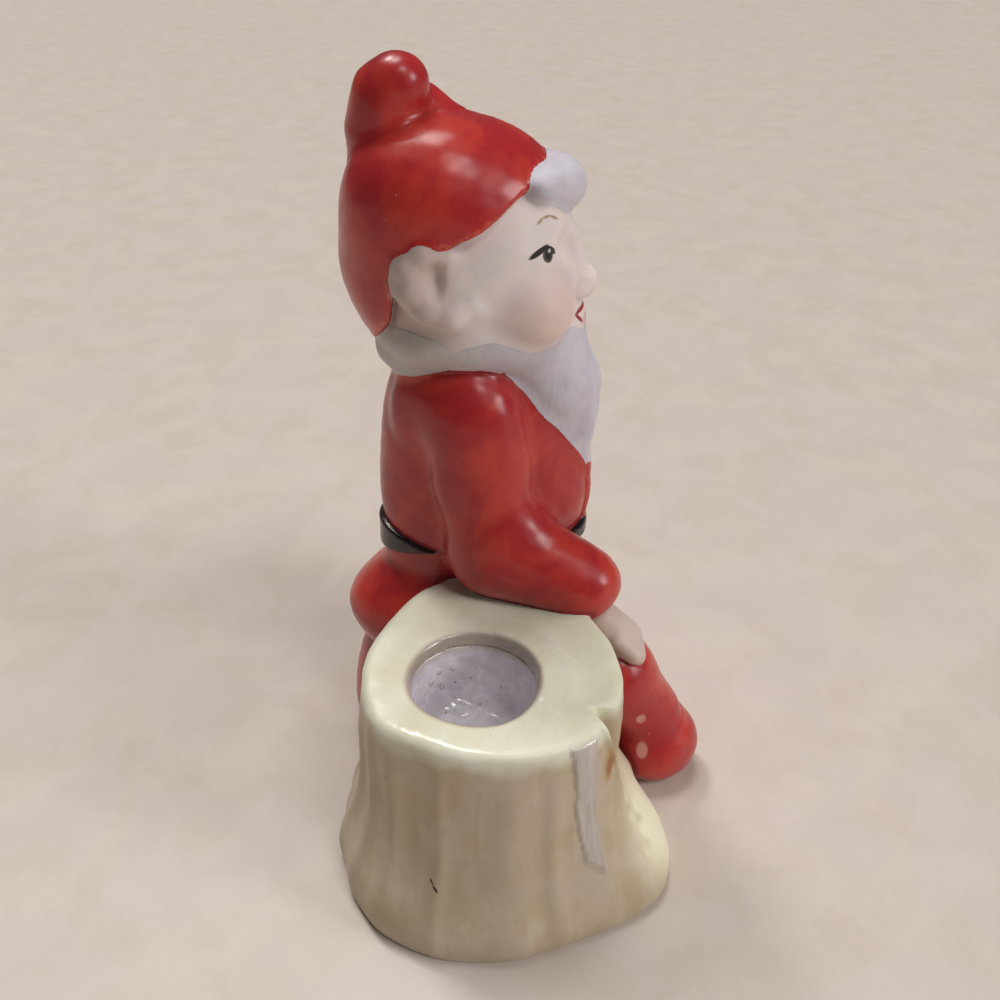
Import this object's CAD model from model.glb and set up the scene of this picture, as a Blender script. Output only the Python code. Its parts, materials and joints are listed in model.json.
"""Looks of the gnome candle holder.

Every piece is modelled as clay: a signed distance in numpy for each cast or pressed piece, with the
pieces joined softly where slip would fill the joint. Each piece is then meshed on its own, so that it
stays a closed piece which meets its neighbours. Clay coordinates are millimetres from the candle
cup's axis, on the ground; the gnome faces -Y and the stump stands towards -X.
"""

import json
import math

import bpy
import numpy as np
from mathutils import Matrix, Vector


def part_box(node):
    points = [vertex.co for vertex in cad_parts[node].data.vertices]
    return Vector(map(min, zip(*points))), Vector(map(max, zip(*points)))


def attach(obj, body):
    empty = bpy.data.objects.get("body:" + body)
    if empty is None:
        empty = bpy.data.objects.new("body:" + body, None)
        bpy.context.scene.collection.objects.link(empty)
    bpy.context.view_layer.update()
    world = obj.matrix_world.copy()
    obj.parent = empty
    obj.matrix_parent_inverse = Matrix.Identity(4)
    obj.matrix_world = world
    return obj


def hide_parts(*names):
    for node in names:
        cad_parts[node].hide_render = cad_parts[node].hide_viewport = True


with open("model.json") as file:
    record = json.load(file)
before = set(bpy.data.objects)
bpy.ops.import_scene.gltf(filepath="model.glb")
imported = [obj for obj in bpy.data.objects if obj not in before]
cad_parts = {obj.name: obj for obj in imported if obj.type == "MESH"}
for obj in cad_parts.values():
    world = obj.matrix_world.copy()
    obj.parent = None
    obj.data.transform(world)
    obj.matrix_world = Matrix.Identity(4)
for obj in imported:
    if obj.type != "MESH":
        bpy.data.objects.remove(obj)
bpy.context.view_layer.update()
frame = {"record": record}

MM = 0.001
CUP_MOUNT = next(mount for mount in frame["record"]["mounts"] if mount["name"] == "candle_cup")
CUP_AXIS = Vector((CUP_MOUNT["pos_m"][0], CUP_MOUNT["pos_m"][1], 0.0))
CUP_RADIUS = CUP_MOUNT["dims"]["r_mm"]
STUMP_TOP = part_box("stump_shell")[1].z / MM
CUP_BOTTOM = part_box("candle_cup")[0].z / MM
CUP_OUTER = (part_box("candle_cup")[1].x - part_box("candle_cup")[0].x) / MM / 2
CUP_SEAM = STUMP_TOP - 3.2
FIGURE_X = ((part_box("head")[0].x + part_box("head")[1].x) / 2 - CUP_AXIS.x) / MM

BODY_CELL = 0.45
HEAD_CELL = 0.3
FAR = 50.0


# ---------------------------------------------------------------- clay forms

def smooth_min(a, b, blend):
    """The nearer of two distances, with a fillet about blend wide where they meet."""
    share = np.maximum(blend - np.abs(a - b), 0.0) / blend
    return np.minimum(a, b) - share * share * blend * 0.25


def smooth_max(a, b, blend):
    """The farther of two distances, with the edge where they meet rounded."""
    return -smooth_min(-a, -b, blend)


def together(blend, *parts):
    joined = parts[0]
    for part in parts[1:]:
        joined = smooth_min(joined, part, blend)
    return joined


def ellipsoid(p, centre, radii):
    scaled = [(c - o) / r for c, o, r in zip(p, centre, radii)]
    reach = np.sqrt(sum(s * s for s in scaled))
    slope = np.sqrt(sum((s / r) ** 2 for s, r in zip(scaled, radii)))
    return reach * (reach - 1.0) / np.maximum(slope, 1e-6)


def rod(p, start, end, start_radius, end_radius):
    """A round-ended rod whose radius changes evenly along it."""
    axis = [e - s for s, e in zip(start, end)]
    length_squared = sum(a * a for a in axis)
    away = [c - s for c, s in zip(p, start)]
    along = np.clip(sum(v * a for v, a in zip(away, axis)) / length_squared, 0.0, 1.0)
    gap = np.sqrt(sum((v - along * a) ** 2 for v, a in zip(away, axis)))
    return gap - (start_radius + (end_radius - start_radius) * along)


def chain(p, blend, *stations):
    """Rods through stations of (centre, radius)."""
    rods = [rod(p, a[0], b[0], a[1], b[1]) for a, b in zip(stations, stations[1:])]
    return together(blend, *rods)


def half_space(p, point, normal):
    return sum((c - o) * n for c, o, n in zip(p, point, normal))


def eased(stations, blur):
    """A smooth function through (position, value) stations."""
    at = np.array([s[0] for s in stations], float)
    value = np.array([s[1] for s in stations], float)
    step = 0.25
    grid = np.arange(at[0] - 4 * blur, at[-1] + 4 * blur, step)
    offsets = np.arange(-3 * blur, 3 * blur + step, step)
    kernel = np.exp(-0.5 * (offsets / blur) ** 2)
    kernel /= kernel.sum()
    pad = len(offsets) // 2
    raw = np.pad(np.interp(grid, at, value), pad, mode="edge")
    soft = np.convolve(raw, kernel, mode="valid")[: len(grid)]
    return lambda position: np.interp(position, grid, soft).astype(np.float32)


def column(p, half_width, front, back):
    """An upright form of elliptical section round the figure's middle, shaped by its profiles."""
    x, y, z = p
    width = half_width(z)
    nearest, farthest = front(z), back(z)
    depth = (farthest - nearest) / 2
    across = (x - FIGURE_X) / width
    along = (y - (farthest + nearest) / 2) / depth
    reach = np.sqrt(across * across + along * along)
    slope = np.sqrt((across / width) ** 2 + (along / depth) ** 2)
    return reach * (reach - 1.0) / np.maximum(slope, 1e-6)


def mirrored(p):
    """Points folded on to the gnome's right side."""
    return FIGURE_X - np.abs(p[0] - FIGURE_X), p[1], p[2]


# ---------------------------------------------------------------- gnome's body

torso_half = eased([(42, 11), (50, 12), (60, 12.6), (70, 12.6), (78, 12.6), (84, 11.4), (92, 9)], 2)
torso_front = eased(
    [(42, -20.6), (50, -21.0), (54, -20.9), (58, -21.9), (63, -21.6), (72, -19.4), (80, -16.4), (86, -12),
     (92, -8)], 1.5
)
torso_back = eased(
    [(42, 19), (52, 18.4), (58, 19), (65, 18.7), (72, 18.1), (78, 17.2), (84, 15.6), (92, 12)], 1.5
)
TORSO_TOP = 90
TORSO_BOTTOM = 42


def torso_shell(p):
    form = column(p, torso_half, torso_front, torso_back)
    return smooth_max(smooth_max(form, p[2] - TORSO_TOP, 3), TORSO_BOTTOM - p[2], 2)


def belt_band(p):
    """Inside the belt's two edges: broad at the back, closing to a point where each arm covers it."""
    x, y, z = p
    upper = np.maximum(51.3 - 0.085 * y, 50.9 + 0.25 * (y - 8.6))
    lower = np.maximum(46.5 - 0.10 * y + 0.2 * np.abs(x - FIGURE_X), 51.0 - 0.33 * np.abs(y - 6.5))
    return np.maximum(z - upper, lower - z)


def raised_band(torso, band, height, buried):
    """A ribbon of clay on the jacket, within a band, with its edges rounded."""
    ring = np.maximum(torso - height, -(torso + buried))
    return smooth_max(ring, band, 1.0)


def belt(p):
    return raised_band(torso_shell(p), belt_band(p), height=1.1, buried=1.2)


def jacket_placket(p):
    half_width, middle, half_length = 2.4, 58, 9
    band = np.maximum(np.abs(p[0] - FIGURE_X) - half_width, np.abs(p[2] - middle) - half_length)
    band = np.maximum(band, p[1])
    return raised_band(torso_shell(p), band, height=0.7, buried=0.9)


skirt_half = eased([(24, 15.6), (28, 16.8), (32, 17.2), (36, 16.2), (40, 14.0), (46, 10.6)], 1.2)
skirt_front = eased([(24, -23), (28, -25), (33, -25.4), (40, -22), (46, -20.5)], 1.2)
skirt_back = eased(
    [(24, 24.6), (28.9, 26.9), (32.2, 27.3), (35.4, 25.9), (40, 21.8), (43.7, 18.4), (48, 15.6)], 0.9
)
SKIRT_TOP = 46
SKIRT_HEM = 23.6
STUMP_LAP = 1.0


def jacket_skirt(p):
    """The flared skirt, cut back where it sits against the stump."""
    form = column(p, skirt_half, skirt_front, skirt_back)
    form = smooth_max(smooth_max(form, p[2] - SKIRT_TOP, 1.5), SKIRT_HEM - p[2], 3)
    return smooth_max(form, -STUMP_LAP - stump_side(p), 1.0)


seat_half = eased([(0, 13), (10, 14), (26, 13.2)], 2)
seat_front = eased([(0, -12), (26, -12)], 2)
seat_back = eased([(0, 27.4), (4, 27.9), (11.4, 27.3), (18.7, 25.4), (24, 23.4), (28, 22.5)], 2)
SEAT_TOP = 28


def trouser_seat(p):
    form = column(p, seat_half, seat_front, seat_back)
    return smooth_max(form, p[2] - SEAT_TOP, 1.5)


def right_sleeve(p):
    """A broad shoulder, a hanging elbow that rests on the stump, and the forearm to the knee."""
    shoulder = ellipsoid(p, (29.8, 1.2, 81.0), (7.4, 9.2, 9.4))
    shoulder_blade = ellipsoid(p, (33.0, 8.2, 80.2), (4.8, 7.0, 9.6))
    upper = ellipsoid(p, (27.0, -1.2, 69.5), (6.2, 9.0, 15))
    elbow = ellipsoid(p, (27.0, -4.4, 55), (7.0, 9.4, 11))
    lower = rod(p, (27.0, -5, 55), (23.4, -21, 47.0), 8.2, 6.8)
    bag = rod(p, (26.6, -3, 51), (23.8, -18, 46.4), 7.2, 6.2)
    arm = together(4, shoulder, shoulder_blade, upper, elbow, lower, bag)
    return smooth_max(arm, half_space(p, (22, -23.7, 42.4), (0, -0.62, -0.785)), 1.2)


def left_sleeve(p):
    upper = rod(p, (48.2, 0.6, 82.0), (51, -1, 58), 7.2, 8.0)
    lower = rod(p, (51, -1, 57), (53, -10, 46.5), 8.0, 6.6)
    arm = together(4, upper, lower)
    return smooth_max(arm, half_space(p, (53, -13, 42.5), (0, -0.5, -0.866)), 1.2)


def hand(p, wrist, knuckles, side):
    """A mitten hand with a thumb, resting on the knee."""
    def from_knuckles(out, y, z):
        return knuckles[0] + side * out, knuckles[1] + y, knuckles[2] + z

    palm = rod(p, wrist, knuckles, 3.7, 4.2)
    fingers = [
        rod(p, from_knuckles(out, -1.4, -0.4), from_knuckles(out + 0.3, -3.0, -2.0), 1.8, 1.6)
        for out in (-2.8, -0.9, 1.0, 2.8)
    ]
    thumb = rod(p, from_knuckles(3.0, 1.0, 2.0), from_knuckles(4.4, -2.2, -0.6), 1.8, 1.5)
    return together(0.9, together(1.2, palm, *fingers), thumb)


def right_hand(p):
    return hand(p, (22.0, -24.0, 39.5), (21.8, -28.4, 34.4), -1)


def left_hand(p):
    return hand(p, (53, -13.5, 41), (52.6, -17.6, 35.6), 1)


def right_leg(p):
    thigh = rod(p, (27, -12, 25), (22.4, -27, 25), 9.0, 8.4)
    shin = rod(p, (22.4, -27, 25), (22.2, -34.6, 14), 8.4, 7.4)
    return together(3, thigh, shin)


def left_leg(p):
    thigh = rod(p, (49, -8, 24), (52, -18, 23.5), 8.6, 7.8)
    shin = rod(p, (52, -18, 23.5), (52, -24, 13), 7.8, 6.8)
    return together(3, thigh, shin)


def right_shoe(p):
    return ellipsoid(p, (21.9, -36.0, 7.0), (9.4, 10.2, 8.8))


def left_shoe(p):
    return ellipsoid(p, (52, -26.6, 6.6), (7.6, 9.0, 7.8))


# ---------------------------------------------------------------- gnome's head

NOSE_TIP = (FIGURE_X, -18.6, 101.8)


def head(p):
    q = mirrored(p)
    skull = ellipsoid(p, (FIGURE_X, 0.5, 105), (15.5, 18.4, 22))
    cheek = ellipsoid(q, (FIGURE_X - 8.4, -10.0, 100.3), (7.1, 6.9, 6.6))
    socket = ellipsoid(q, (FIGURE_X - 7.2, -17.6, 109.2), (5.2, 3.6, 3.8))
    lips = ellipsoid(p, (FIGURE_X, -16.6, 95.6), (4.6, 3.2, 3.6))
    ridge = rod(p, (FIGURE_X, -16.4, 110), (FIGURE_X, -18.0, 103), 1.6, 1.9)
    ball = ellipsoid(p, NOSE_TIP, (3.2, 3.0, 3.0))
    nostril = ellipsoid(q, (FIGURE_X - 2.3, -17.9, 101.0), (1.6, 1.7, 1.5))
    form = smooth_max(skull, -socket, 3.0)
    form = together(3.2, form, cheek, lips)
    form = smooth_min(form, ridge, 2.2)
    return together(0.9, form, ball, nostril)


EAR_RIM = (
    ((15.0, 4.0, 112.0), 1.7),
    ((15.3, 7.4, 112.2), 2.1),
    ((15.4, 9.8, 109.8), 2.3),
    ((15.4, 9.6, 106.4), 2.4),
    ((15.4, 7.0, 103.2), 2.5),
    ((15.2, 3.6, 102.0), 2.6),
    ((14.2, 0.6, 103.4), 2.0),
)


def ear(p):
    """The ear on the gnome's right side: a rolled rim that ends in the lobe, round a shallow hollow."""
    rim = chain(p, 1.0, *[((FIGURE_X - out, y, z), radius) for (out, y, z), radius in EAR_RIM])
    inside = ellipsoid(p, (FIGURE_X - 13.6, 7.2, 107.2), (2.9, 6.0, 6.4))
    hollow = ellipsoid(p, (FIGURE_X - 17.7, 5.4, 108.3), (3.0, 1.7, 3.0))
    return smooth_max(smooth_min(rim, inside, 1.6), -hollow, 1.0)


def right_ear(p):
    return np.where(p[0] < FIGURE_X, ear(p), FAR)


def left_ear(p):
    return np.where(p[0] > FIGURE_X, ear(mirrored(p)), FAR)


def nape_hair(p):
    under_hat = ellipsoid(p, (FIGURE_X, 6.4, 94.8), (14.2, 11.4, 7.2))
    roll = ellipsoid(p, (FIGURE_X, 9.4, 90.4), (10.0, 8.4, 5.2))
    return smooth_min(under_hat, roll, 2)


def beard(p):
    flow = chain(
        p, 3,
        ((FIGURE_X, -11.4, 88.2), 9.6),
        ((FIGURE_X, -14.3, 81.8), 8.3),
        ((FIGURE_X, -16.7, 75.0), 5.7),
        ((FIGURE_X, -19.0, 66.0), 2.8),
    )
    jaw = ellipsoid(p, (FIGURE_X, -2, 95.2), (14.4, 15.0, 7.6))
    waves = 0.3 * np.sin(1.15 * (p[0] - FIGURE_X) + 0.22 * (p[2] - 60))
    below_jaw = np.clip((92 - p[2]) / 10, 0, 1)
    return smooth_min(flow, jaw, 4) + waves * below_jaw


def forelock(p):
    curl = ellipsoid(p, (FIGURE_X, -14.0, 119.0), (6.2, 5.0, 4.7))
    sweep = ellipsoid(mirrored(p), (FIGURE_X - 5.8, -11.2, 120.6), (4.6, 3.2, 2.8))
    return smooth_min(curl, sweep, 2.4)


def hat_dome(p):
    """The cap over the skull, with the slack of the cloth lying as a soft bag before its point."""
    skull = ellipsoid(p, (FIGURE_X, 2.2, 107.5), (16.9, 20.8, 22.5))
    bag = ellipsoid(p, (FIGURE_X - 5.0, 7.6, 117.8), (10.5, 13.2, 11.6))
    return smooth_min(skull, bag, 5)


HAT_THICKNESS = 2.5
RIM_SLOPE = 0.78


def hat(p):
    """The cap's shell above its rim, which climbs over the face and dips behind the ears."""
    y, z = p[1], p[2]
    over_face = smooth_max(115 - 0.83 * (y + 1.5), 115 - 0.29 * (y + 1.5), 2)
    behind_ear = 110.6 - 7.0 * (y - 12.0)
    round_nape = 100.8 - 1.5 * (y - 12.6)
    rim = smooth_min(over_face, smooth_max(behind_ear, round_nape, 2), 2)
    dome = hat_dome(p)
    shell = np.maximum(dome, -(dome + HAT_THICKNESS))
    return smooth_max(shell, (rim - z) * RIM_SLOPE, 0.9)


def hat_tail(p):
    """The soft point of the cap, standing up behind the bag and leaning over it, with a ridge."""
    point = chain(
        p, 3,
        ((FIGURE_X + 0.6, 12.0, 117.5), 9.0),
        ((FIGURE_X + 0.2, 13.8, 127.5), 6.0),
        ((FIGURE_X - 0.8, 12.8, 133.0), 5.3),
        ((FIGURE_X - 1.6, 11.1, 135.2), 4.4),
    )
    ridge = rod(p, (FIGURE_X + 3.0, 8.0, 130.2), (FIGURE_X + 2.0, -2.5, 122.6), 4.0, 3.2)
    return smooth_min(point, ridge, 1.4)


# ---------------------------------------------------------------- tree stump

STUMP_CENTRE = (4.2, -2.8)


def around(stations):
    """A smooth function of the angle in degrees through (angle, value) stations."""
    full = [(a + turn, value) for turn in (-360, 0, 360) for a, value in stations]
    return eased(sorted(full), 7)


stump_rim = around(
    [(20, 26.2), (46, 23.8), (62, 22.4), (103, 23.1), (127, 24.8), (153, 23.1), (184, 23.2),
     (225, 25.6), (245, 24.6), (262, 23.9), (280, 23.2), (311, 22.6), (340, 24.6)]
)
stump_foot = around(
    [(0, 28.6), (60, 28.6), (110, 30.2), (130, 31.6), (150, 32.0), (175, 31.0), (203, 30.1), (217, 31.6),
     (228, 33.2), (238, 37.0), (248, 37.6), (258, 35.8), (270, 33.2), (284, 30.2), (320, 28.2)]
)
stump_flare = eased(
    [(-2, 0.93), (0, 0.95), (4, 1.0), (8, 0.86), (14, 0.44), (20, 0.18), (28, 0.05), (45, 0)], 1.6
)

# (angle, width in degrees, height)
BARK_RIDGES = (
    (104, 5, 1.1), (121, 4, 0.6), (138, 6, 1.1), (160, 3.5, 0.4), (190, 9, 0.8), (206, 4, 0.6),
    (264, 6, 0.3), (288, 6, 1.1), (310, 5, 1.2), (340, 6, 1.3), (12, 6, 1.2), (40, 6, 1.2), (75, 5, 1.2),
)
BARK_SINK = 0.35

# (angle, height above the ground, size)
ROOT_PITS = ((249.0, 16.7, 1.7), (251.5, 13.3, 1.6), (246.0, 10.3, 2.0))
ROOT_REACH = 33
PIT_DEPTH = 2.2

SPLIT_DEPTH = 3.0
LIP_HEIGHT = 0.6
WAIST_DEPTH = 1.6
RUN_THICKNESS = 0.5
WALL_SLOPE = 0.97


def angle_gap(angle, middle):
    return (angle - middle + 180) % 360 - 180


def polar(p):
    """Distance from the stump's middle, and the angle in degrees round it."""
    across, along = p[0] - STUMP_CENTRE[0], p[1] - STUMP_CENTRE[1]
    return np.sqrt(across * across + along * along), np.degrees(np.arctan2(along, across)) % 360


def glaze_run(p):
    """1 on the thick run of glaze down the bark, and 0 off it."""
    z = p[2]
    _, angle = polar(p)
    middle = 219.6 + 0.09 * (44 - z) + 0.4 * np.sin(0.4 * z)
    half = 6.6 - 0.08 * np.clip(40 - z, 0, 30) + 0.2 * np.sin(0.9 * z)
    gap = angle_gap(angle, middle)
    across = np.clip((half - np.abs(gap)) / 1.6, 0, 1)
    above_tip = np.clip((z - 13.5 + 0.5 * gap) / 2, 0, 1)
    below_rim = np.clip((44.4 - z) / 0.8, 0, 1)
    return across * above_tip * below_rim


def ridges(angle, z):
    """Upright folds of bark, one by one, fading towards the rim and the ground."""
    fading = np.clip((STUMP_TOP - 1.0 - z) / 9, 0, 1) * np.clip((z + 3) / 12, 0, 1)
    wander = 1.2 * np.sin(z * 0.09 + angle * 0.05)
    for middle, width, height in BARK_RIDGES:
        gap = angle_gap(angle, middle + wander)
        yield height * fading * np.exp(-((gap / width) ** 2))


def split_bark(angle, z):
    """A cleft that leans round the stump below the rim, with a raised lip along one edge."""
    from_split = angle_gap(angle, 234.5 + 0.9 * (45 - z))
    opening = np.clip((z - 19) / 9, 0, 1)
    cleft = np.exp(-((from_split / np.where(from_split < 0, 2.6, 5.0)) ** 2))
    lip = np.exp(-(((from_split + 5.0) / 1.8) ** 2))
    return (LIP_HEIGHT * lip - SPLIT_DEPTH * cleft) * opening


def root_pits(angle, z):
    """Knots pressed into the root's shoulder, one by one."""
    for middle, height, size in ROOT_PITS:
        arc = np.radians(angle_gap(angle, middle)) * ROOT_REACH
        yield np.exp(-((arc / size) ** 2) - ((z - height - 0.5 * arc) / (0.6 * size)) ** 2)


def stump_side(p):
    """Distance out from the bark wall, above the stump as well as beside it."""
    z = p[2]
    radius, angle = polar(p)
    rim, foot = stump_rim(angle), stump_foot(angle)
    wall = rim + (foot - rim) * stump_flare(z) - BARK_SINK
    for fold in ridges(angle, z):
        wall = wall + fold
    wall = wall + split_bark(angle, z)
    for pit in root_pits(angle, z):
        wall = wall - PIT_DEPTH * pit
    waist = np.exp(-((angle_gap(angle, 268) / 18) ** 2) - ((z - 19) / 9) ** 2)
    wall = wall - WAIST_DEPTH * waist + RUN_THICKNESS * glaze_run(p)
    return WALL_SLOPE * (radius - wall)


TOP_UNEVENNESS = 0.35
RIM_ROUNDING = 2.1
MOUTH_ROUNDING = 1.2
SEAT_GAP = 0.05


def stump_shell(p):
    """The stump with its uneven top, bored for the candle and seated for the cup below the bore."""
    x, y, z = p
    from_axis = np.sqrt(x * x + y * y)
    waves = TOP_UNEVENNESS * np.sin(0.21 * x + 1) * np.sin(0.19 * y)
    top = z - STUMP_TOP + TOP_UNEVENNESS + waves
    body = smooth_max(stump_side(p), top, RIM_ROUNDING)
    bored = smooth_max(body, CUP_RADIUS - from_axis, MOUTH_ROUNDING)
    cup_seat = np.maximum(from_axis - CUP_OUTER - SEAT_GAP, np.maximum(z - CUP_SEAM, CUP_BOTTOM - z))
    return np.maximum(bored, -cup_seat)


CUP_FLOOR = 3


def candle_cup(p):
    """A blind round cup, its glazed inside a little lumpy."""
    x, y, z = p
    from_axis = np.sqrt(x * x + y * y)
    outside = smooth_max(smooth_max(from_axis - CUP_OUTER, z - CUP_SEAM, 0.4), CUP_BOTTOM - z, 1.5)
    blobs = 0.16 * np.sin(1.1 * x + 0.6 * z) * np.sin(0.9 * y - 0.7 * z)
    inside = smooth_max(from_axis - CUP_RADIUS, CUP_BOTTOM + CUP_FLOOR - z, 5.0)
    return smooth_max(outside, -(inside + blobs), 0.6)


# ---------------------------------------------------------------- pieces from the forms

# node: (form, blend with what is already there, low corner, high corner, cell, slot)
# A later piece lies over the earlier ones where they meet.
FORMS = {
    "torso_shell": (torso_shell, 0.1, (24, -25, 41), (54, 22, 91), BODY_CELL, "red_paint"),
    "jacket_skirt": (jacket_skirt, 1.2, (20, -28, 22), (58, 30, 48), BODY_CELL, "red_paint"),
    "trouser_seat": (trouser_seat, 0.8, (23, -14, -1), (55, 30, 30), BODY_CELL, "red_paint"),
    "belt": (belt, 0.4, (24, -25, 43), (54, 22, 54), BODY_CELL, "black_paint"),
    "jacket_placket": (jacket_placket, 0.5, (34, -25, 48), (44, -8, 70), BODY_CELL, "red_paint"),
    "right_sleeve": (right_sleeve, 2.0, (15, -32, 38), (40, 18, 93), BODY_CELL, "red_paint"),
    "left_sleeve": (left_sleeve, 2.2, (40, -20, 38), (63, 12, 92), BODY_CELL, "red_paint"),
    "right_leg": (right_leg, 1.6, (12, -44, 4), (38, -1, 36), BODY_CELL, "red_paint"),
    "left_leg": (left_leg, 1.6, (39, -32, 4), (62, 2, 34), BODY_CELL, "red_paint"),
    "right_shoe": (right_shoe, 2.4, (12, -48, -1), (33, -25, 18), BODY_CELL, "red_paint"),
    "left_shoe": (left_shoe, 2.4, (43, -37, -1), (61, -16, 16), BODY_CELL, "red_paint"),
    "right_hand": (right_hand, 0.6, (14, -37, 27), (28, -17, 45), HEAD_CELL, "skin_bisque"),
    "left_hand": (left_hand, 0.6, (46, -26, 28), (61, -8, 46), HEAD_CELL, "skin_bisque"),
    "head": (head, 0.8, (22, -23, 81), (56, 21, 129), HEAD_CELL, "skin_bisque"),
    "right_ear": (right_ear, 2.2, (18, -4, 97), (30, 15, 116), HEAD_CELL, "skin_bisque"),
    "left_ear": (left_ear, 2.2, (48, -4, 97), (60, 15, 116), HEAD_CELL, "skin_bisque"),
    "nape_hair": (nape_hair, 2.4, (23, -7, 83), (55, 20, 103), HEAD_CELL, "hair_bisque"),
    "beard": (beard, 2.6, (22, -25, 60), (56, 15, 105), HEAD_CELL, "hair_bisque"),
    "forelock": (forelock, 2.2, (26, -21, 112), (52, -6, 126), HEAD_CELL, "hair_bisque"),
    "hat": (hat, 1.4, (20, -20, 86), (58, 25, 132), BODY_CELL, "red_paint"),
    "hat_tail": (hat_tail, 2.0, (24, -8, 106), (52, 26, 142), BODY_CELL, "red_paint"),
    "stump_shell": (stump_shell, 0.8, (-29, -42, -1), (34, 31, 47), BODY_CELL, "stump_glaze"),
}
RANKS = {node: rank for rank, node in enumerate(FORMS)}

REACH = 5
OVERLAP = 0.7
UNDERLAP_INSET = 0.13
GROUND_ROUNDING = 0.9


def relief(p):
    """Gentle unevenness of a hand-finished casting."""
    x, y, z = p
    broad = np.sin(0.33 * x + 1.7 * np.sin(0.11 * z)) * np.sin(0.29 * y + 0.8)
    broad = broad * np.sin(0.27 * z + 0.13 * x)
    fine = np.sin(0.83 * x + 0.5 * z) * np.sin(0.77 * y - 0.4 * x) * np.sin(0.91 * z + 0.3 * y)
    return 0.14 * broad + 0.05 * fine


def neighbours(node):
    """Nodes whose boxes come within reach of this one's, in order."""
    low, high = np.array(FORMS[node][2]), np.array(FORMS[node][3])
    close = []
    for other, (_, _, other_low, other_high, _, _) in FORMS.items():
        apart = np.maximum(low - np.array(other_high), np.array(other_low) - high)
        if apart.max() < REACH:
            close.append(other)
    return close


def joined_surface(p, distances):
    """The whole figure's surface, from the distances of its forms."""
    surface = None
    for node in sorted(distances, key=RANKS.get):
        part = distances[node]
        surface = part if surface is None else smooth_min(surface, part, FORMS[node][1])
    surface = surface + relief(p)
    return smooth_max(surface, -p[2], GROUND_ROUNDING)


def fields_of(node):
    """The figure's surface near a node, and the node's own share of it."""
    close = neighbours(node)

    def surface(p):
        return joined_surface(p, {other: FORMS[other][0](p) for other in close})

    def own(p):
        """The joined surface, cut where a neighbour is nearer, and a little under a later neighbour."""
        distances = {other: FORMS[other][0](p) for other in close}
        whole = joined_surface(p, distances)
        share = np.full_like(whole, -FAR)
        inset = np.zeros_like(whole)
        for other in close:
            if other == node:
                continue
            gap = (distances[node] - distances[other]) / 2
            if RANKS[other] > RANKS[node]:
                inset = np.maximum(inset, np.clip((gap + 0.5) / 0.5, 0, 1))
                gap = gap - OVERLAP
            share = np.maximum(share, gap)
        return smooth_max(whole + UNDERLAP_INSET * inset, share, 0.15)

    return surface, own


# ---------------------------------------------------------------- meshing

BLOCK = 8
BLOCKS_AT_ONCE = 400
NEAR_BLOCKS = 1.25


def sample(field, low, high, cell):
    """Field values on a grid, worked out point by point only in blocks near the surface."""
    side = cell * BLOCK
    counts = np.ceil((high - low) / side).astype(int)
    middles = [low[axis] + side * (np.arange(counts[axis]) + 0.5) for axis in range(3)]
    centres = np.meshgrid(*middles, indexing="ij")
    coarse = field([c.astype(np.float32) for c in centres]).astype(np.float32)
    values = coarse.repeat(BLOCK, 0).repeat(BLOCK, 1).repeat(BLOCK, 2)
    blocks = values.reshape(counts[0], BLOCK, counts[1], BLOCK, counts[2], BLOCK)
    blocks = blocks.transpose(0, 2, 4, 1, 3, 5)
    near = np.argwhere(np.abs(coarse) < side * NEAR_BLOCKS)
    steps = (np.arange(BLOCK) * cell).astype(np.float32)
    for start in range(0, len(near), BLOCKS_AT_ONCE):
        chosen = near[start:start + BLOCKS_AT_ONCE]
        corner = (low + chosen * side).astype(np.float32)
        x = corner[:, 0, None, None, None] + steps[None, :, None, None]
        y = corner[:, 1, None, None, None] + steps[None, None, :, None]
        z = corner[:, 2, None, None, None] + steps[None, None, None, :]
        points = [np.ascontiguousarray(c) for c in np.broadcast_arrays(x, y, z)]
        blocks[chosen[:, 0], chosen[:, 1], chosen[:, 2]] = field(points)
    return values


CORNERS = [(i, j, k) for i in (0, 1) for j in (0, 1) for k in (0, 1)]
EDGES = [(a, b) for a in range(8) for b in range(a + 1, 8)
         if sum(abs(u - v) for u, v in zip(CORNERS[a], CORNERS[b])) == 1]


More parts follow.
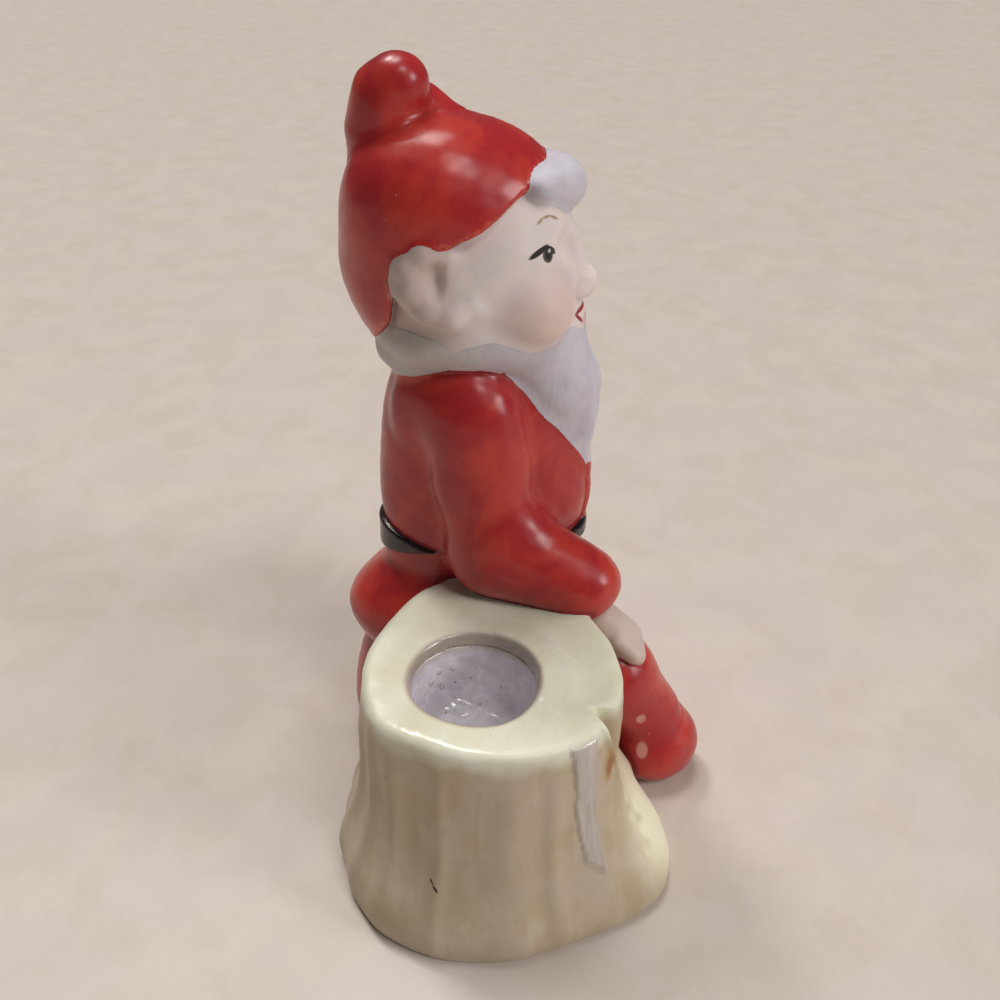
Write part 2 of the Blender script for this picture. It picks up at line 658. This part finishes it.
def surface_net(values, low, cell):
    """Points and quads of the surface where the values change sign."""
    inside = values < 0
    size = np.array(values.shape) - 1

    def shifted(array, corner):
        return array[tuple(slice(c, c + n) for c, n in zip(corner, size))]

    filled = sum(shifted(inside, corner).astype(np.int8) for corner in CORNERS)
    mixed = (filled > 0) & (filled < 8)
    cells = np.argwhere(mixed)
    numbers = np.full(mixed.shape, -1, np.int32)
    numbers[mixed] = np.arange(len(cells), dtype=np.int32)
    corner_values = [values[tuple((cells + corner).T)] for corner in CORNERS]
    total = np.zeros((len(cells), 3))
    crossings = np.zeros(len(cells))
    for a, b in EDGES:
        va, vb = corner_values[a], corner_values[b]
        crossed = (va < 0) != (vb < 0)
        along = np.where(crossed, va / np.where(crossed, va - vb, 1), 0)
        start, end = np.array(CORNERS[a], float), np.array(CORNERS[b], float)
        total += crossed[:, None] * (start + along[:, None] * (end - start))
        crossings += crossed
    points = low + (cells + total / crossings[:, None]) * cell
    quads = []
    for axis in range(3):
        second, third = (axis + 1) % 3, (axis + 2) % 3
        here = [slice(1, n) for n in size]
        here[axis] = slice(0, size[axis])
        ahead = list(here)
        ahead[axis] = slice(1, size[axis] + 1)
        starts_in = inside[tuple(here)]
        changes = np.argwhere(starts_in != inside[tuple(ahead)])
        base = changes + [0 if a == axis else 1 for a in range(3)]
        outward = starts_in[tuple(changes.T)]
        ring = []
        for back_second, back_third in ((1, 1), (0, 1), (0, 0), (1, 0)):
            at = base.copy()
            at[:, second] -= back_second
            at[:, third] -= back_third
            ring.append(numbers[tuple(at.T)])
        ring = np.stack(ring, 1)
        quads.append(np.where(outward[:, None], ring, ring[:, ::-1]))
    return points, np.concatenate(quads)


def slope_of(field, points, step):
    """The field's gradient at points, by central differences."""
    gradient = np.zeros_like(points)
    for axis in range(3):
        ahead, behind = points.copy(), points.copy()
        ahead[:, axis] += step
        behind[:, axis] -= step
        gradient[:, axis] = (field(list(ahead.T)) - field(list(behind.T))) / (2 * step)
    return gradient


SMALLEST_SHARE = 0.04


def without_crumbs(points, quads):
    """Drop the connected surfaces that are only crumbs of a piece."""
    label = np.arange(len(points))
    while True:
        lowest = label[quads].min(1)
        before = label.copy()
        np.minimum.at(label, quads.ravel(), lowest.repeat(4))
        label = label[label]
        if (label == before).all():
            break
    sizes = np.bincount(label)
    kept = sizes[label] > SMALLEST_SHARE * len(points)
    renumber = np.cumsum(kept) - 1
    return points[kept], renumber[quads[kept[quads[:, 0]]]]


SETTLE_STEP = 0.08
NORMAL_STEP = 0.12
ON_SURFACE = 0.3
WEAR_REACH = 1.3


def shaped(own, surface, low, high, cell):
    """Points, quads, normals and the two wear masks of one piece."""
    low, high = np.array(low, float) - cell, np.array(high, float) + cell
    points, quads = surface_net(sample(own, low, high, cell), low, cell)
    points, quads = without_crumbs(points, quads)
    farthest = cell * 0.6
    for _ in range(2):
        gradient = slope_of(own, points, SETTLE_STEP)
        steepness = np.maximum((gradient ** 2).sum(1), 0.05)
        move = own(list(points.T)) / steepness
        points = points - np.clip(move, -farthest, farthest)[:, None] * gradient
    skin = np.abs(surface(list(points.T))) < ON_SURFACE
    normals = np.where(
        skin[:, None], slope_of(surface, points, NORMAL_STEP), slope_of(own, points, NORMAL_STEP)
    )
    normals /= np.maximum(np.linalg.norm(normals, axis=1), 1e-6)[:, None]
    outside = surface(list((points + normals * WEAR_REACH).T))
    inside = surface(list((points - normals * WEAR_REACH).T))
    crevice = np.clip(1 - outside / WEAR_REACH, 0, 1)
    edge = np.clip(1 + inside / WEAR_REACH, 0, 1)
    return points, quads, normals, crevice, edge


def add_object(name, data):
    made = bpy.data.objects.new(name, data)
    bpy.context.scene.collection.objects.link(made)
    return made


def add_piece(name, form, slot, material, nodes):
    """Make the Blender object of one piece, in metres in the frame."""
    points, quads, normals, crevice, edge = form
    run = glaze_run(list(points.T)) if slot == "stump_glaze" else np.zeros(len(points))
    metres = points * MM + np.array(CUP_AXIS)
    mesh = bpy.data.meshes.new(name)
    mesh.vertices.add(len(metres))
    mesh.vertices.foreach_set("co", metres.astype(np.float32).ravel())
    mesh.loops.add(quads.size)
    mesh.loops.foreach_set("vertex_index", quads.astype(np.int32).ravel())
    mesh.polygons.add(len(quads))
    mesh.polygons.foreach_set("loop_start", np.arange(0, quads.size, 4, dtype=np.int32))
    mesh.polygons.foreach_set("use_smooth", np.ones(len(quads), bool))
    mesh.update(calc_edges=True)
    mesh.validate()
    for label, mask in (("crevice", crevice), ("edge", edge), ("glaze_run", run)):
        layer = mesh.attributes.new(label, "FLOAT", "POINT")
        layer.data.foreach_set("value", mask.astype(np.float32))
    mesh.normals_split_custom_set_from_vertices(normals.tolist())
    mesh.materials.append(material)
    piece = add_object(name, mesh)
    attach(piece, "root")
    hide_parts(*nodes)


# ---------------------------------------------------------------- materials

class Finish:
    """A node material built up in layers, in clay millimetres."""

    def __init__(self, name):
        self.material = bpy.data.materials.new(name)
        self.material.use_nodes = True
        self.tree = self.material.node_tree
        self.tree.nodes.clear()
        self.shader = self.tree.nodes.new("ShaderNodeBsdfPrincipled")
        self.node("OutputMaterial", Surface=self.shader.outputs[0])
        place = self.node("TexCoord").outputs["Object"]
        clay = self.node("Mapping", Vector=place, Scale=(1 / MM,) * 3, Location=tuple(-CUP_AXIS / MM))
        self.clay = clay.outputs["Vector"]

    def give(self, target, value):
        """Connect a socket, or set a plain value."""
        if isinstance(value, bpy.types.NodeSocket):
            self.tree.links.new(value, target)
        else:
            target.default_value = value

    def fill(self, node, inputs):
        for name, value in inputs.items():
            self.give(node.inputs[name.replace("_", " ")], value)
        return node

    def node(self, kind, **inputs):
        """A new node with its named inputs filled."""
        return self.fill(self.tree.nodes.new("ShaderNode" + kind), inputs)

    def set(self, **inputs):
        self.fill(self.shader, inputs)

    def stretched(self, scale):
        return self.node("Mapping", Vector=self.clay, Scale=scale).outputs["Vector"]

    def noise(self, size, detail=3.0, roughness=0.5, distortion=0.0, vector=None):
        """Noise whose features are about size millimetres across, from 0 to 1."""
        node = self.node(
            "TexNoise", Vector=vector or self.clay, Scale=1.0 / size, Detail=detail,
            Roughness=roughness, Distortion=distortion
        )
        return node.outputs["Fac"]

    def cells(self, size):
        """Distance from the nearest of points scattered about size millimetres apart, in sizes."""
        return self.node("TexVoronoi", Vector=self.clay, Scale=1.0 / size).outputs["Distance"]

    def attribute(self, name):
        node = self.node("Attribute")
        node.attribute_name = name
        return node.outputs["Fac"]

    def span(self, value, low, high, out_low=0.0, out_high=1.0):
        """Map low..high to out_low..out_high, smoothly and within those ends."""
        node = self.node(
            "MapRange", Value=value, From_Min=low, From_Max=high, To_Min=out_low, To_Max=out_high
        )
        node.interpolation_type = "SMOOTHSTEP"
        return node.outputs["Result"]

    def math(self, operation, a, b=0.0):
        node = self.node("Math")
        node.operation = operation
        self.give(node.inputs[0], a)
        self.give(node.inputs[1], b)
        return node.outputs[0]

    def mix(self, a, b, share):
        """Colour a turning into colour b."""
        node = self.node("Mix")
        node.data_type = "RGBA"
        self.give(node.inputs[0], share)
        for socket, colour in ((node.inputs[6], a), (node.inputs[7], b)):
            self.give(socket, colour if isinstance(colour, bpy.types.NodeSocket) else (*colour, 1.0))
        return node.outputs[2]

    def lay(self, under, over, mask, share):
        """A colour laid over another through a mask, at most a share strong."""
        return self.mix(under, over, self.math("MULTIPLY", mask, share))

    def spot(self, centre, radii, softness, turn=(0.0, 0.0, 0.0)):
        """1 inside an ellipsoid and 0 outside, with a soft edge."""
        node = self.node("Mapping", Vector=self.clay, Location=centre, Rotation=turn, Scale=radii)
        node.vector_type = "TEXTURE"
        length = self.node("VectorMath", Vector=node.outputs["Vector"])
        length.operation = "LENGTH"
        return self.span(length.outputs["Value"], 1 - softness, 1 + softness, 1.0, 0.0)

    def stroke(self, start, end, width, facing, softness=0.18):
        """A brush stroke that tapers at both ends, on a surface facing a direction."""
        start, end, facing = Vector(start), Vector(end), Vector(facing).normalized()
        along = (end - start).normalized()
        across = facing.cross(along).normalized()
        outward = along.cross(across)
        turn = Matrix((along, across, outward)).transposed().to_euler()
        radii = ((end - start).length / 2, width / 2, 4.0)
        return self.spot(tuple((start + end) / 2), radii, softness, tuple(turn))

    def place(self, axis):
        """The clay coordinate along an axis."""
        return self.node("SeparateXYZ", Vector=self.clay).outputs[axis]

    def bump(self, *layers):
        """Layers of (value, depth in millimetres)."""
        normal = None
        for value, depth in layers:
            node = self.node("Bump", Strength=1.0, Distance=depth * MM, Height=value)
            if normal:
                self.give(node.inputs["Normal"], normal)
            normal = node.outputs["Normal"]
        self.set(Normal=normal)


# (centre, radii)
PAINT_CHIPS = (
    ((14.6, -32.7, 19.4), (1.5, 1.0, 1.1)),
    ((13.9, -33.4, 11.3), (1.6, 1.1, 1.8)),
    ((15.0, -29.2, 23.6), (1.2, 0.5, 0.5)),
)


def red_paint():
    """Satin red brushed over bisque: patchy, darker where it pools, thin on edges, chipped white."""
    f = Finish("red_paint")
    patches = f.span(f.noise(11.0, 4, 0.55, 0.6), 0.38, 0.64)
    colour = f.mix((0.41, 0.017, 0.023), (0.54, 0.038, 0.025), patches)
    streaks = f.noise(1.6, 4, 0.6, 0.4, f.stretched((1.0, 1.0, 0.35)))
    colour = f.mix(colour, (0.35, 0.012, 0.014), f.span(streaks, 0.55, 0.80, 0.0, 0.45))
    colour = f.mix(colour, (0.22, 0.006, 0.010), f.span(f.attribute("crevice"), 0.15, 0.85, 0.0, 0.85))
    worn_patches = f.span(f.noise(1.1, 3), 0.45, 0.7)
    thin = f.math("MULTIPLY", f.span(f.attribute("edge"), 0.20, 0.55), worn_patches)
    colour = f.lay(colour, (0.72, 0.16, 0.09), thin, 0.5)
    chips = f.span(f.cells(2.1), 0.05, 0.085, 1.0, 0.0)
    chips = f.math("MULTIPLY", chips, f.span(f.noise(9.0, 2), 0.60, 0.66))
    for centre, radii in PAINT_CHIPS:
        chips = f.math("MAXIMUM", chips, f.spot(centre, radii, 0.25))
    ragged = f.span(f.noise(0.5, 3), 0.15, 0.42)
    chips = f.math("MULTIPLY", chips, ragged)
    colour = f.lay(colour, (0.74, 0.34, 0.32), chips, 0.75)
    grain = f.noise(0.35, 4, 0.6)
    roughness = f.span(f.noise(2.5, 3), 0.3, 0.7, 0.32, 0.42)
    f.set(Base_Color=colour, Roughness=roughness, Specular_IOR_Level=0.22)
    f.set(Coat_Weight=0.55, Coat_Roughness=0.27)
    f.bump((streaks, 0.05), (grain, 0.012), (f.math("SUBTRACT", 1.0, chips), 0.05))
    return f.material


def black_paint():
    """Glossy black with a faint cloud, worn to red on the edges."""
    f = Finish("black_paint")
    cloud = f.noise(2.2, 4, 0.55)
    colour = f.mix((0.006, 0.006, 0.007), (0.016, 0.013, 0.012), f.span(cloud, 0.4, 0.7))
    worn_patches = f.span(f.noise(0.8, 3), 0.52, 0.66)
    worn = f.math("MULTIPLY", f.span(f.attribute("edge"), 0.25, 0.6), worn_patches)
    colour = f.lay(colour, (0.20, 0.03, 0.025), worn, 0.35)
    f.set(Base_Color=colour, Roughness=f.span(cloud, 0.3, 0.7, 0.22, 0.34))
    f.set(Specular_IOR_Level=0.35, Coat_Weight=0.25, Coat_Roughness=0.10)
    f.bump((f.noise(1.4, 3), 0.05))
    return f.material


def skin_bisque():
    """Matt bisque with sprayed blush, and the painted eyes, brows and smile."""
    f = Finish("skin_bisque")
    colour = f.mix((0.80, 0.71, 0.71), (0.85, 0.75, 0.73), f.span(f.noise(5.0, 3), 0.35, 0.7))
    colour = f.mix(colour, (0.58, 0.45, 0.38), f.span(f.place("Z"), 44.0, 60.0, 0.75, 0.0))
    colour = f.mix(colour, (0.52, 0.41, 0.36), f.span(f.place("Y"), -2.0, 7.0, 0.0, 0.80))
    for side in (-1, 1):
        cheek = f.spot((FIGURE_X + side * 10.5, -12, 101.0), (6.5, 7.0, 5.6), 0.65)
        colour = f.lay(colour, (0.74, 0.46, 0.36), cheek, 0.55)
    shade = f.span(f.attribute("crevice"), 0.2, 0.9, 0.0, 0.5)
    colour = f.mix(colour, (0.42, 0.30, 0.27), shade)
    for side in (-1, 1):
        colour = paint_eye(f, colour, side)
    colour = paint_mouth(f, colour)
    specks = f.span(f.cells(3.6), 0.025, 0.045, 1.0, 0.0)
    colour = f.lay(colour, (0.30, 0.22, 0.18), specks, 0.5)
    f.set(Base_Color=colour, Roughness=f.span(f.noise(1.5, 3), 0.3, 0.7, 0.46, 0.60))
    f.set(Subsurface_Weight=0.18, Subsurface_Scale=0.002, Specular_IOR_Level=0.4)
    f.bump((f.noise(0.45, 4, 0.6), 0.010), (f.noise(2.4, 3), 0.03))
    return f.material


def on_face(side, out, y, z):
    return FIGURE_X + side * out, y, z


def paint_eye(f, colour, side):
    """A lid line, a dark iris with a small light, and a fine arched brow."""
    ink, facing = (0.014, 0.012, 0.012), (side * 0.62, -0.76, 0.18)
    eye = on_face(side, 10.0, -12.4, 110.3)
    colour = f.mix(colour, (0.085, 0.070, 0.062), f.spot(eye, (1.55, 1.4, 1.3), 0.12))
    strokes = (
        f.stroke(on_face(side, 12.8, -9.3, 110.5), on_face(side, 10.0, -12.5, 111.9), 1.0, facing),
        f.stroke(on_face(side, 10.7, -11.8, 111.9), on_face(side, 7.5, -14.0, 109.6), 0.95, facing),
        f.spot(eye, (0.95, 0.9, 0.95), 0.2),
    )
    for stroke in strokes:
        colour = f.mix(colour, ink, stroke)
    light = f.spot(on_face(side, 9.9, -12.6, 110.9), (0.4, 0.4, 0.32), 0.3)
    colour = f.mix(colour, (0.60, 0.58, 0.58), light)
    arch = [
        on_face(side, *place)
        for place in ((10.0, -10.5, 115.3), (9.0, -11.5, 116.0), (7.8, -12.7, 116.0), (6.5, -14.1, 115.0))
    ]
    for start, end in zip(arch, arch[1:]):
        brow = f.stroke(start, end, 0.5, (side * 0.6, -0.7, 0.37), 0.35)
        colour = f.lay(colour, (0.36, 0.24, 0.08), brow, 0.85)
    return colour


def paint_mouth(f, colour):
    """A smile: a long upper line and a short lower one from each corner."""
    red, facing = (0.34, 0.040, 0.034), (0, -1, 0.1)
    for side in (-1, 1):
        corner = on_face(side, 5.0, -17.1, 97.5)
        upper = f.stroke(corner, on_face(side, 0.0, -19.9, 98.0), 0.75, facing)
        lower = f.stroke(corner, on_face(side, 3.2, -18.4, 95.2), 0.7, facing)
        for stroke in (upper, lower):
            colour = f.mix(colour, red, stroke)
    lip = f.spot((FIGURE_X, -19, 95.6), (3.4, 4, 1.3), 0.4)
    return f.lay(colour, (0.60, 0.25, 0.21), lip, 0.55)


def hair_bisque():
    """Matt white bisque with a lilac cast, warmer at the nape, combed with fine strands."""
    f = Finish("hair_bisque")
    colour = f.mix((0.60, 0.567, 0.65), (0.68, 0.655, 0.725), f.span(f.noise(4.0, 3), 0.3, 0.7))
    colour = f.mix(colour, (0.52, 0.47, 0.43), f.span(f.place("Y"), -8.0, 8.0, 0.0, 0.75))
    colour = f.mix(colour, (0.42, 0.37, 0.36), f.span(f.attribute("crevice"), 0.15, 0.85, 0.0, 0.6))
    specks = f.span(f.cells(3.9), 0.02, 0.04, 1.0, 0.0)
    colour = f.lay(colour, (0.34, 0.27, 0.22), specks, 0.45)
    strands = f.noise(1.2, 3, 0.55, 0.5, f.stretched((1.6, 1.6, 0.3)))
    f.set(Base_Color=colour, Roughness=f.span(f.noise(1.5, 3), 0.3, 0.7, 0.40, 0.56))
    f.set(Subsurface_Weight=0.15, Subsurface_Scale=0.002, Specular_IOR_Level=0.45)
    f.bump((strands, 0.10), (f.noise(0.45, 4, 0.6), 0.010))
    return f.material


ROOT_STAINS = ((-5.5, -28.6, 16.7), (-5.2, -30.7, 13.3), (-9.1, -32.4, 10.5))

# (start, end, width)
GLAZE_FLECKS = (
    ((-20.6, 7.1, 14.8), (-20.9, 6.3, 13.7), 0.5),
    ((-20.3, 7.6, 15.9), (-20.6, 7.0, 14.9), 0.35),
    ((-16.4, 16.4, 36.6), (-17.2, 14.6, 35.2), 0.35),
)


def stump_glaze():
    """Thick cream glaze on the top, thin over a tan bark wall, with stains, scratches and specks."""
    f = Finish("stump_glaze")
    cloud = f.noise(12.0, 3, 0.5, 0.4)
    ragged_height = f.math("ADD", f.place("Z"), f.math("MULTIPLY", f.noise(6.0, 3), 4.0))
    on_top = f.span(ragged_height, 41.5, 46.0)
    wall = f.mix((0.52, 0.42, 0.27), (0.56, 0.465, 0.345), f.span(cloud, 0.38, 0.62))
    streaks = f.noise(4.0, 3, 0.5, 0.3, f.stretched((1.0, 1.0, 0.14)))
    wall = f.mix(wall, (0.66, 0.58, 0.46), f.span(streaks, 0.50, 0.72, 0.0, 0.45))
    root = f.spot((0.0, -34.0, 8.0), (11, 12, 13), 0.5)
    wall = f.lay(wall, (0.92, 0.88, 0.66), root, 0.95)
    wall = f.mix(wall, (0.36, 0.27, 0.14), f.span(f.attribute("crevice"), 0.10, 0.75, 0.0, 0.8))
    top = f.mix((0.77, 0.765, 0.575), (0.83, 0.83, 0.68), f.span(cloud, 0.35, 0.65))
    colour = f.mix(wall, top, on_top)
    colour = f.mix(colour, (0.78, 0.75, 0.62), f.span(f.attribute("edge"), 0.15, 0.5, 0.0, 0.3))
    bore = f.spot((0, 0, STUMP_TOP), (CUP_RADIUS + 0.8, CUP_RADIUS + 0.8, 30), 0.05)
    colour = f.lay(colour, (0.40, 0.32, 0.26), bore, 0.85)
    run = f.attribute("glaze_run")
    run_streaks = f.noise(1.6, 3, 0.5, 0.5, f.stretched((1.0, 1.0, 0.12)))
    run_colour = f.mix((0.45, 0.39, 0.355), (0.60, 0.55, 0.52), f.span(run_streaks, 0.30, 0.75))
    colour = f.lay(colour, run_colour, run, 0.8)
    stain = f.spot((-9.8, -23.2, 34.0), (1.9, 2.2, 4.4), 0.5)
    colour = f.lay(colour, (0.46, 0.24, 0.06), stain, 0.75)
    core = f.spot((-9.8, -23.2, 33.0), (0.9, 2.0, 2.4), 0.5)
    colour = f.lay(colour, (0.30, 0.10, 0.02), core, 0.8)
    for centre in ROOT_STAINS:
        dirt = f.spot(centre, (1.5, 1.5, 0.8), 0.7)
        colour = f.lay(colour, (0.40, 0.34, 0.18), dirt, 0.6)
    rust = f.spot((-19.2, -17.0, 7.5), (2.2, 3.2, 2.6), 0.8)
    colour = f.lay(colour, (0.50, 0.31, 0.15), rust, 0.3)
    speckle = f.span(f.cells(1.3), 0.06, 0.12, 1.0, 0.0)
    speckle = f.math("MULTIPLY", speckle, f.span(f.noise(4.0, 3), 0.52, 0.62, 0.0, 0.45))
    colour = f.mix(colour, (0.26, 0.19, 0.11), speckle)
    for start, end, width in GLAZE_FLECKS:
        colour = f.mix(colour, (0.03, 0.025, 0.02), f.stroke(start, end, width, (-1, 0, 0.3), 0.3))
    scratch = f.stroke((10.4, -11.8, 44.6), (3.6, -18.6, 44.6), 0.7, (0, 0, 1), 0.6)
    colour = f.lay(colour, (0.86, 0.85, 0.72), scratch, 0.8)
    near_cup = f.spot((0, 0, STUMP_TOP), (17, 17, 30), 0.25)
    gloss = f.math("MULTIPLY", on_top, f.span(near_cup, 0.0, 1.0, 0.12, 1.0))
    gloss = f.math("MAXIMUM", gloss, f.math("MULTIPLY", run, 0.75))
    pooled = f.math("MULTIPLY", near_cup, f.noise(2.6, 3, 0.55))
    ripples = f.math("MULTIPLY", run, run_streaks)
    f.set(Base_Color=colour, Roughness=f.span(gloss, 0.0, 1.0, 0.48, 0.18), Specular_IOR_Level=0.45)
    f.set(Coat_Weight=f.span(gloss, 0.2, 1.0, 0.05, 0.7), Coat_Roughness=0.07)
    f.bump(
        (streaks, 0.16), (f.noise(0.6, 3, 0.5), 0.02), (f.noise(3.0, 2), 0.10), (scratch, 0.12),
        (pooled, 0.30), (ripples, 0.14)
    )
    return f.material


def cup_glaze():
    """Lilac-white glaze that pooled and pitted inside the cup."""
    f = Finish("cup_glaze")
    blobs = f.noise(2.6, 3, 0.5, 0.8)
    colour = f.mix((0.72, 0.69, 0.74), (0.83, 0.80, 0.85), f.span(blobs, 0.40, 0.68))
    pits = f.span(f.cells(1.7), 0.10, 0.2, 1.0, 0.0)
    pits = f.math("MULTIPLY", pits, f.span(f.noise(4.0, 2), 0.48, 0.6))
    colour = f.lay(colour, (0.16, 0.13, 0.14), pits, 0.7)
    ring = f.span(f.place("Z"), CUP_SEAM - 2.2, CUP_SEAM - 0.2)
    colour = f.lay(colour, (0.52, 0.42, 0.30), ring, 0.55)
    f.set(Base_Color=colour, Roughness=f.span(blobs, 0.3, 0.7, 0.14, 0.30))
    f.set(Coat_Weight=0.6, Coat_Roughness=0.05)
    at_back = f.span(f.place("Y"), -2.0, 5.0)
    drops = f.math("MULTIPLY", f.span(f.cells(2.4), 0.10, 0.30, 1.0, 0.0), at_back)
    f.bump((blobs, 0.08), (drops, 0.35), (f.noise(0.7, 3), 0.02))
    return f.material


FINISHES = {
    maker.__name__: maker()
    for maker in (red_paint, black_paint, skin_bisque, hair_bisque, stump_glaze, cup_glaze)
}


# ---------------------------------------------------------------- the pieces

def make_pieces():
    """One piece for each node, and the candle cup, which stands in its seat with no fillets."""
    for node, (_, _, low, high, cell, slot) in FORMS.items():
        surface, own = fields_of(node)
        form = shaped(own, surface, low, high, cell)
        add_piece(f"{node}_piece", form, slot, FINISHES[slot], [node])
    low, high = (-16, -16, CUP_BOTTOM - 1), (16, 16, STUMP_TOP)
    cup = shaped(candle_cup, candle_cup, low, high, BODY_CELL)
    add_piece("candle_cup_piece", cup, "cup_glaze", FINISHES["cup_glaze"], ["candle_cup"])


# ---------------------------------------------------------------- floor, light and camera

def floor_material():
    """A pale mottled cloth with faint fibres."""
    f = Finish("pale_floor")
    mottle = f.noise(16.0, 5, 0.6, 0.5)
    colour = f.mix((0.615, 0.540, 0.465), (0.660, 0.588, 0.515), f.span(mottle, 0.35, 0.65))
    tint = f.span(f.noise(30.0, 3, 0.5, 0.8), 0.40, 0.62)
    colour = f.lay(colour, (0.64, 0.56, 0.535), tint, 0.5)
    fibres = f.noise(2.2, 5, 0.65, 1.2)
    colour = f.mix(colour, (0.53, 0.46, 0.395), f.span(fibres, 0.52, 0.8, 0.0, 0.22))
    f.set(Base_Color=colour, Roughness=0.55)
    f.bump((fibres, 0.05))
    return f.material


FLOOR_REACH = 2.2
BACKDROP_REACH = 5.0
BACKDROP_HEIGHT = 2.6
SPOKES = 96
RINGS = 24


def add_ring(name, radii, heights):
    """A stage surface of rings round the origin, at the heights given."""
    turns = np.linspace(0, 2 * math.pi, SPOKES, endpoint=False)
    corners = [(radius * math.cos(turn), radius * math.sin(turn), height)
               for radius, height in zip(radii, heights) for turn in turns]
    tiles = []
    for inner in range(0, (len(radii) - 1) * SPOKES, SPOKES):
        for spoke in range(SPOKES):
            following = (spoke + 1) % SPOKES
            outer = inner + SPOKES
            tiles.append((inner + spoke, outer + spoke, outer + following, inner + following))
    mesh = bpy.data.meshes.new(name)
    mesh.from_pydata(corners, [], tiles)
    mesh.polygons.foreach_set("use_smooth", np.ones(len(mesh.polygons), bool))
    ring = add_object(name, mesh)
    return ring


def add_floor():
    """A wide round floor, and a backdrop curving up from its rim that throws no light on the gnome."""
    material = floor_material()
    floor = add_ring("floor", np.linspace(0.0, FLOOR_REACH, RINGS), np.zeros(RINGS))
    floor.data.materials.append(material)
    radii = np.linspace(FLOOR_REACH, BACKDROP_REACH, RINGS)
    rise = (radii - FLOOR_REACH) / (BACKDROP_REACH - FLOOR_REACH)
    backdrop = add_ring("backdrop", radii, BACKDROP_HEIGHT * rise ** 2)
    backdrop.data.materials.append(material)
    backdrop.visible_diffuse = False
    backdrop.visible_glossy = False
    backdrop.visible_shadow = False


def add_sun(name, towards, softness, strength, colour):
    """A distant soft light, given by its direction from the figure and its width in degrees."""
    lamp = bpy.data.lights.new(name, "SUN")
    lamp.angle = math.radians(softness)
    lamp.energy = strength
    lamp.color = colour
    light = add_object(name, lamp)
    light.rotation_euler = Vector(towards).to_track_quat("Z", "Y").to_euler()


# (name, direction towards it, width in degrees, strength, colour)
LIGHTS = (
    ("overhead_light", (0.24, 0.06, 1.0), 18, 1.02, (1.0, 0.97, 0.93)),
    ("far_light", (0.50, 0.34, 1.0), 10, 0.94, (1.0, 0.97, 0.93)),
    ("window_light", (-0.39, -0.38, 0.84), 15, 0.60, (1.0, 0.97, 0.96)),
    ("front_light", (-0.32, -0.85, 0.44), 20, 1.08, (1.0, 0.96, 0.95)),
)
ROOM_COLOUR = (1.0, 0.97, 0.95, 1.0)
ROOM_STRENGTH = 0.09


def light_scene():
    for light in LIGHTS:
        add_sun(*light)
    world = bpy.data.worlds.new("soft_room")
    world.use_nodes = True
    background = world.node_tree.nodes["Background"]
    background.inputs["Color"].default_value = ROOM_COLOUR
    background.inputs["Strength"].default_value = ROOM_STRENGTH
    bpy.context.scene.world = world


CAMERA_FROM_MOUTH = Vector((-0.1349, -0.0046, 0.1271))
CAMERA_TILT = 33.82
CAMERA_LENS = 37.8


def add_camera():
    """Above and beside the stump, level across, looking along +X and down."""
    data = bpy.data.cameras.new("photo_angle")
    data.lens = CAMERA_LENS
    data.sensor_width = 36.0
    data.clip_start = 0.01
    camera = add_object("photo_angle", data)
    camera.location = CUP_AXIS + Vector((0, 0, STUMP_TOP * MM)) + CAMERA_FROM_MOUTH
    camera.rotation_euler = (math.radians(90 - CAMERA_TILT), 0, math.radians(-90))
    bpy.context.scene.camera = camera


add_camera()
add_floor()
light_scene()
make_pieces()
bpy.context.scene.view_settings.view_transform = "Standard"
